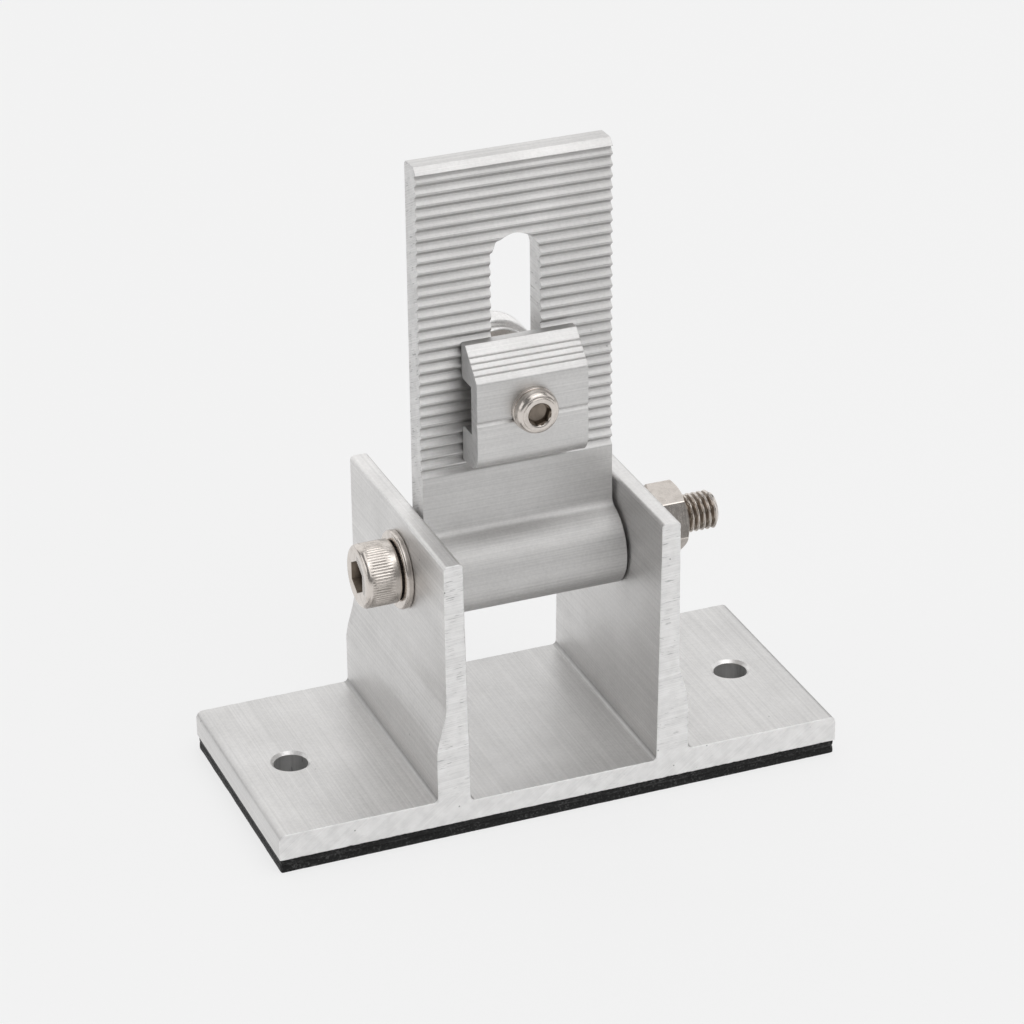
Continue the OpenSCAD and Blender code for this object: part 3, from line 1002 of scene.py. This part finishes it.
# The flat washers, rounded outside
flatWashers = {
    "segments": 128,
    "bevel": 0.2,
    "bevelHeight": 0.15,
    "pieces": [
        {"name": "headWasher", "nodeName": "head_washer", "axis": alongX, "bore": 4.25, "rim": 0.5},
        {"name": "nutWasher", "nodeName": "nut_washer", "axis": alongX, "bore": 4.25, "rim": 0.5},
        {"name": "wideWasher", "nodeName": "wide_washer", "axis": alongY, "bore": 2.7, "rim": 0.3},
    ],
}


def makeWasher(name, nodeName, axis, bore, rim):
    outer, thickness, start = span(nodeName, axis)
    bevel, rise = flatWashers["bevel"], flatWashers["bevelHeight"]
    rings = rounding(outer - rim, rim, rim, -90, 0) + rounding(outer - rim, thickness - rim, rim, 0, 90)
    rings += [ringOf(bore + bevel, thickness), ringOf(bore, thickness - rise), ringOf(bore, rise),
              ringOf(bore + bevel, 0)]
    place, finish, body = ((onPivot(start), pivotSteel, "base") if axis == alongX
                           else (onScrew(start), clampSteel, "clamp"))
    made = turned(name, rings, flatWashers["segments"], place, [finish], closed=True)
    placed(name, made, body, nodeName)


for washer in flatWashers["pieces"]:
    makeWasher(**washer)


# Spring washers: one turn of a square wire, flattened, with a slanted split
springWashers = {
    "gap": 3.2,  # degrees, on each side of the split
    "lean": 60,
    "steps": 110,
    "corner": 0.12,
    "pieces": [
        {"name": "nutSpringWasher", "nodeName": "nut_spring_washer", "axis": alongX, "inner": 4.25,
         "split": 200},
        {"name": "screwSpringWasher", "nodeName": "screw_spring_washer", "axis": alongY, "inner": 2.75,
         "split": 232},
    ],
}


def makeSpringWasher(name, nodeName, axis, inner, split):
    outer, thickness, start = span(nodeName, axis)
    gap, steps, corner = springWashers["gap"], springWashers["steps"], springWashers["corner"]
    centres = [(outer - corner, corner), (outer - corner, thickness - corner),
               (inner + corner, thickness - corner), (inner + corner, corner)]
    profile = []
    for quarter, (r, z) in enumerate(centres):
        angles = [math.radians(quarter * 90 - 90 + a) for a in (0, 30, 60, 90)]
        profile += [(r + corner * math.cos(a), z + corner * math.sin(a)) for a in angles]
    shape = bmesh.new()
    rows = []
    for i in range(steps + 1):
        along = split + gap + (360 - 2 * gap) * i / steps
        row = []
        for r, z in profile:
            turn = math.radians(along + (z - thickness / 2) * springWashers["lean"] / outer)
            row.append(shape.verts.new((r * math.cos(turn) * mm, r * math.sin(turn) * mm, z * mm)))
        rows.append(row)
    for low, high in zip(rows, rows[1:]):
        for k in range(len(profile)):
            m = (k + 1) % len(profile)
            shape.faces.new((low[k], low[m], high[m], high[k]))
    shape.faces.new(rows[0])
    shape.faces.new(rows[-1])
    bmesh.ops.recalc_face_normals(shape, faces=shape.faces)
    place, finish, body = ((onPivot(start), pivotSteel, "base") if axis == alongX
                           else (onScrew(start + thickness * mm, -1), clampSteel, "clamp"))
    shape.transform(place)
    placed(name, meshObject(name, shape, [finish]), body, nodeName)


for washer in springWashers["pieces"]:
    makeSpringWasher(**washer)


# The pivot nut: six flats, turned down at both faces
nut = {
    "flats": 13.0,
    "corner": 7.43,
    "phase": 42,
    "face": 6.3,
    "faceEdge": 0.3,
    "chamfer": 30,
    "chamferSteps": 5,
    "bore": 4.05,
    "countersink": 0.45,
    "segments": 360,
}


def makeNut():
    tall, start = span("pivot_nut", alongX)[1:]
    flat = hexRing(nut["flats"] / 2, 0, nut["phase"], nut["corner"])
    face, bore, sink, steps = nut["face"], nut["bore"], nut["countersink"], nut["chamferSteps"]

    def chamfer(share, top):
        def at(a):
            out = flat(a)[0] / mm - face
            rise = out * math.tan(math.radians(nut["chamfer"])) * share
            return ((face + out * share) * mm, (tall - rise if top else rise) * mm)
        return at
    rings = [ringOf(bore + sink, 0), ringOf(face - nut["faceEdge"], 0)]
    rings += [chamfer(i / steps, False) for i in range(steps + 1)]
    rings += [chamfer(1 - i / steps, True) for i in range(steps + 1)]
    rings += [ringOf(face - nut["faceEdge"], tall), ringOf(bore + sink, tall), ringOf(bore, tall - sink),
              ringOf(bore, sink)]
    made = turned("nut", rings, nut["segments"], onPivot(start), [pivotSteel], closed=True, sharpAngle=24)
    placed("pivotNut", made, "base", "pivot_nut")


makeNut()


# The clamp screw: a low domed head with a socket, and its thread
screw = {
    "segments": 192,
    "socket": 4.0,
    "socketCone": 1.1,
    "socketPhase": -15,
    "socketHigh": 0.45,
    "opening": 2.42,
    "shank": 5.0,
    "face": 6.9,
    "faceRise": 0.25,
    "domeSteps": 8,
    "rim": 0.5,
    "rimEdge": 0.15,
    "pitch": 0.8,
    "threadDepth": 0.42,
    "threadLength": 17,
    "pitchRings": 10,
    "tipHeight": 0.6,
}


def makeScrew():
    head, end, start = span("clamp_screw", alongY)
    seat = (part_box("screw_spring_washer")[0].y - start) / mm
    shank, face, rise, opening = screw["shank"] / 2, screw["face"] / 2, screw["faceRise"], screw["opening"]
    apothem, phase = screw["socket"] / 2, screw["socketPhase"]
    edge, thread = screw["rimEdge"], screw["threadLength"]
    dome = seat - screw["rim"] - rise  # the dome's height, and the socket's depth
    threadLow = end - thread
    rings = [ringOf(None, dome + screw["socketCone"]), ringOf(apothem * 0.95, dome),
             hexRing(apothem, dome - 0.02, phase), hexRing(apothem, screw["socketHigh"], phase),
             ringOf(opening - 0.06, 0.3), ringOf(opening, 0.08), ringOf(opening + 0.08, 0),
             ringOf(face - 0.2, 0.0), ringOf(face - 0.06, 0.05), ringOf(face, 0.14),
             ringOf(face + 0.02, rise)]
    for i in range(1, screw["domeSteps"] + 1):
        a = math.pi / 2 * i / screw["domeSteps"]
        rings.append(ringOf(face + (head - face) * math.sin(a), rise + dome * (1 - math.cos(a))))
    rings += [ringOf(head, seat - edge), ringOf(head - edge, seat), ringOf(shank + 0.2, seat),
              ringOf(shank, seat + 0.3), ringOf(shank, seat + 5)]
    steps = round(thread / screw["pitch"] * screw["pitchRings"])
    rings += evenly(shank, threadLow, thread - screw["tipHeight"], steps)
    rings += [ringOf(shank - 0.3, end - 0.3), ringOf(shank - 0.6, end), ringOf(None, end)]
    made = turned("screw", rings, screw["segments"], Matrix.Identity(4), [clampSteel])
    cutThread(made, clampSteel, shank, screw["pitch"], screw["threadDepth"], threadLow, end + 1)
    # painted shade: the socket's cone is dark
    repainted(made, paintedHollowShade, 0, apothem * 0.96, dome - 0.05, dome + 2)
    # painted shade: the socket's walls are dark
    repainted(made, paintedSocketShade, apothem * 0.96, apothem * 1.2, 0.35, dome + 0.1)
    # painted shade: the thread's roots are dark
    repainted(made, paintedHollowShade, 0.3, shank - screw["threadDepth"] * 0.4, threadLow, end - 0.3)
    placed("clampScrew", moved(made, onScrew(start)), "clamp", "clamp_screw")


makeScrew()


# The knurled nut behind the upright
thumb = {
    "segments": 384,
    "ribs": 96,
    "ribDepth": 0.22,
    "ribCrest": 0.25,
    "ribRunout": 0.4,
    "ribEnd": 0.3,
    "bore": 2.55,
    "countersink": 0.6,
    "collar": 5.5,
    "shoulderIn": 1.0,
    "shoulderHeight": 2.0,
    "softEdge": 0.3,
    "band": 5.5,
    "bandEdge": 0.5,
    "bandSteps": 12,
    "dishIn": 2.4,
    "dishEdge": 0.3,
    "dish": 0.25,
    "bossEdge": 0.6,
    "bossDrop": 0.2,
}


def makeThumbNut():
    head, tall, start = span("knurled_nut", alongY)
    collar, sink, bore = (thumb[name] for name in ("collar", "countersink", "bore"))
    soft, edge = thumb["softEdge"], thumb["bandEdge"]
    bandLow = tall - thumb["band"]
    shoulder = head - thumb["shoulderIn"]
    shoulderLow = bandLow - thumb["shoulderHeight"]
    dishOuter, dishFloor, bossTop = head - thumb["dishIn"], tall - thumb["dish"], tall - thumb["bossDrop"]
    rings = [ringOf(bore + sink, 0), ringOf(collar - 0.4, 0)]
    rings += rounding(collar - soft, soft, soft, -90, 0, 3)
    rings += [ringOf(collar, shoulderLow - 0.1), ringOf(collar + 0.1, shoulderLow),
              ringOf(shoulder - 0.4, shoulderLow)]
    rings += rounding(shoulder - soft, shoulderLow + soft, soft, -90, 0, 3)
    rings += [ringOf(shoulder, bandLow - 0.3), ringOf(shoulder - 0.25, bandLow), ringOf(head - 0.6, bandLow)]
    rings += rounding(head - edge, bandLow + edge, edge, -90, 0)
    rings += evenly(head, bandLow + 0.6, thumb["band"] - 1.2, thumb["bandSteps"])
    rings += rounding(head - edge, tall - edge, edge, 0, 90)
    rings += [ringOf(dishOuter, tall), ringOf(dishOuter - thumb["dishEdge"], dishFloor),
              ringOf(bore + sink + thumb["bossEdge"], dishFloor), ringOf(bore + sink, bossTop),
              ringOf(bore, bossTop - sink), ringOf(bore, sink)]
    made = turned("thumb", rings, thumb["segments"], Matrix.Identity(4), [thumbSteel], closed=True)
    cutRelief(made, thumbSteel, thumb["ribs"], 0.0, thumb["ribCrest"], Depth=thumb["ribDepth"], Radius=head,
              Low=bandLow + thumb["ribEnd"], High=tall - thumb["ribEnd"], Runout=thumb["ribRunout"])
    placed("knurledNut", moved(made, onScrew(start)), "clamp", "knurled_nut")


makeThumbNut()


# The floor, the lamps and the camera
studio = {
    "floorSize": 24.0,
    "floorLevel": 0.9,
    "floorGlow": 0.93,
    "glowShare": 0.8,
    "world": 0.2,
    "lamps": {
        "frontTop": {"place": (0.55, -1.5, 1.7), "size": (2.4, 2.2), "level": 1.0},
        "top": {"place": (0.25, -0.25, 2.4), "size": (2.2, 2.2), "level": 1.0},
        "back": {"place": (0.0, 2.4, 1.35), "size": (4.2, 2.8), "level": 0.81},
        "crown": {"place": (0.2, 1.15, 2.15), "size": (2.0, 0.8), "level": 0.35},
        "left": {"place": (-2.4, 0.3, 1.0), "size": (2.4, 1.5), "level": 1.0},
        "right": {"place": (2.4, 0.3, 1.0), "size": (2.4, 1.5), "level": 0.8},
    },
    "aim": (0, 0, 0.05),
}
view = {
    "azimuth": -21.64,
    "elevation": 26.88,
    "roll": -0.64,
    "distance": 755.0,
    "target": (-0.15, 0.0, 55.0),
    "lens": 133.21,
    "sensor": 36,
    "clipStart": 0.05,
}


def makeFloor():
    half = studio["floorSize"] / 2
    mesh = bpy.data.meshes.new("floor")
    mesh.from_pydata([(-half, -half, 0), (half, -half, 0), (half, half, 0), (-half, half, 0)], [],
                     [(0, 1, 2, 3)])
    floor = bpy.data.objects.new("floor", mesh)
    bpy.context.scene.collection.objects.link(floor)
    material = bpy.data.materials.new("paleFloor")
    net = emptyNet(material)
    matt = net.node("ShaderNodeBsdfDiffuse", None, {"Color": grey(studio["floorLevel"])})
    glow = net.node("ShaderNodeEmission", None, {"Color": grey(studio["floorGlow"])})
    rays = ("Is Camera Ray", "Is Glossy Ray", "Is Transmission Ray")
    seen = net.limited(sum(net.node("ShaderNodeLightPath", out=kind) for kind in rays))
    share = seen * studio["glowShare"]  # what the eye and the metal see is even, its light is not added
    both = net.node("ShaderNodeMixShader", None, {0: share, 1: matt, 2: glow})
    net.node("ShaderNodeOutputMaterial", None, {"Surface": both})
    mesh.materials.append(material)


def makeLamp(name, place, size, level):
    lamp = bpy.data.lights.new(name, "AREA")
    lamp.shape = "RECTANGLE"
    lamp.size, lamp.size_y = size
    lamp.energy = level * math.pi * size[0] * size[1]
    made = bpy.data.objects.new(name, lamp)
    bpy.context.scene.collection.objects.link(made)
    made.location = place
    aim = Vector(studio["aim"]) - Vector(place)
    made.rotation_euler = aim.to_track_quat("-Z", "Y").to_euler()


def makeWorld():
    world = bpy.data.worlds.new("room")
    bpy.context.scene.world = world
    net = emptyNet(world)
    light = net.node("ShaderNodeBackground", None, {"Color": grey(1.0), "Strength": studio["world"]})
    net.node("ShaderNodeOutputWorld", None, {"Surface": light})


def makeCamera():
    az, el, roll = (math.radians(view[name]) for name in ("azimuth", "elevation", "roll"))
    back = Vector((math.sin(az) * math.cos(el), -math.cos(az) * math.cos(el), math.sin(el)))
    side = Vector((math.cos(az), math.sin(az), 0))
    up = back.cross(side)
    right = side * math.cos(roll) + up * math.sin(roll)
    top = up * math.cos(roll) - side * math.sin(roll)
    lens = bpy.data.cameras.new("camera")
    lens.lens = view["lens"]
    lens.sensor_width = view["sensor"]
    lens.clip_start = view["clipStart"]
    made = bpy.data.objects.new("camera", lens)
    bpy.context.scene.collection.objects.link(made)
    made.matrix_world = Matrix((right, top, back)).transposed().to_4x4()
    made.location = (Vector(view["target"]) + back * view["distance"]) * mm
    bpy.context.scene.camera = made


makeFloor()
for name, lamp in studio["lamps"].items():
    makeLamp(name, **lamp)
makeWorld()
makeCamera()
bpy.context.scene.view_settings.view_transform = "Standard"
print("studio ready")
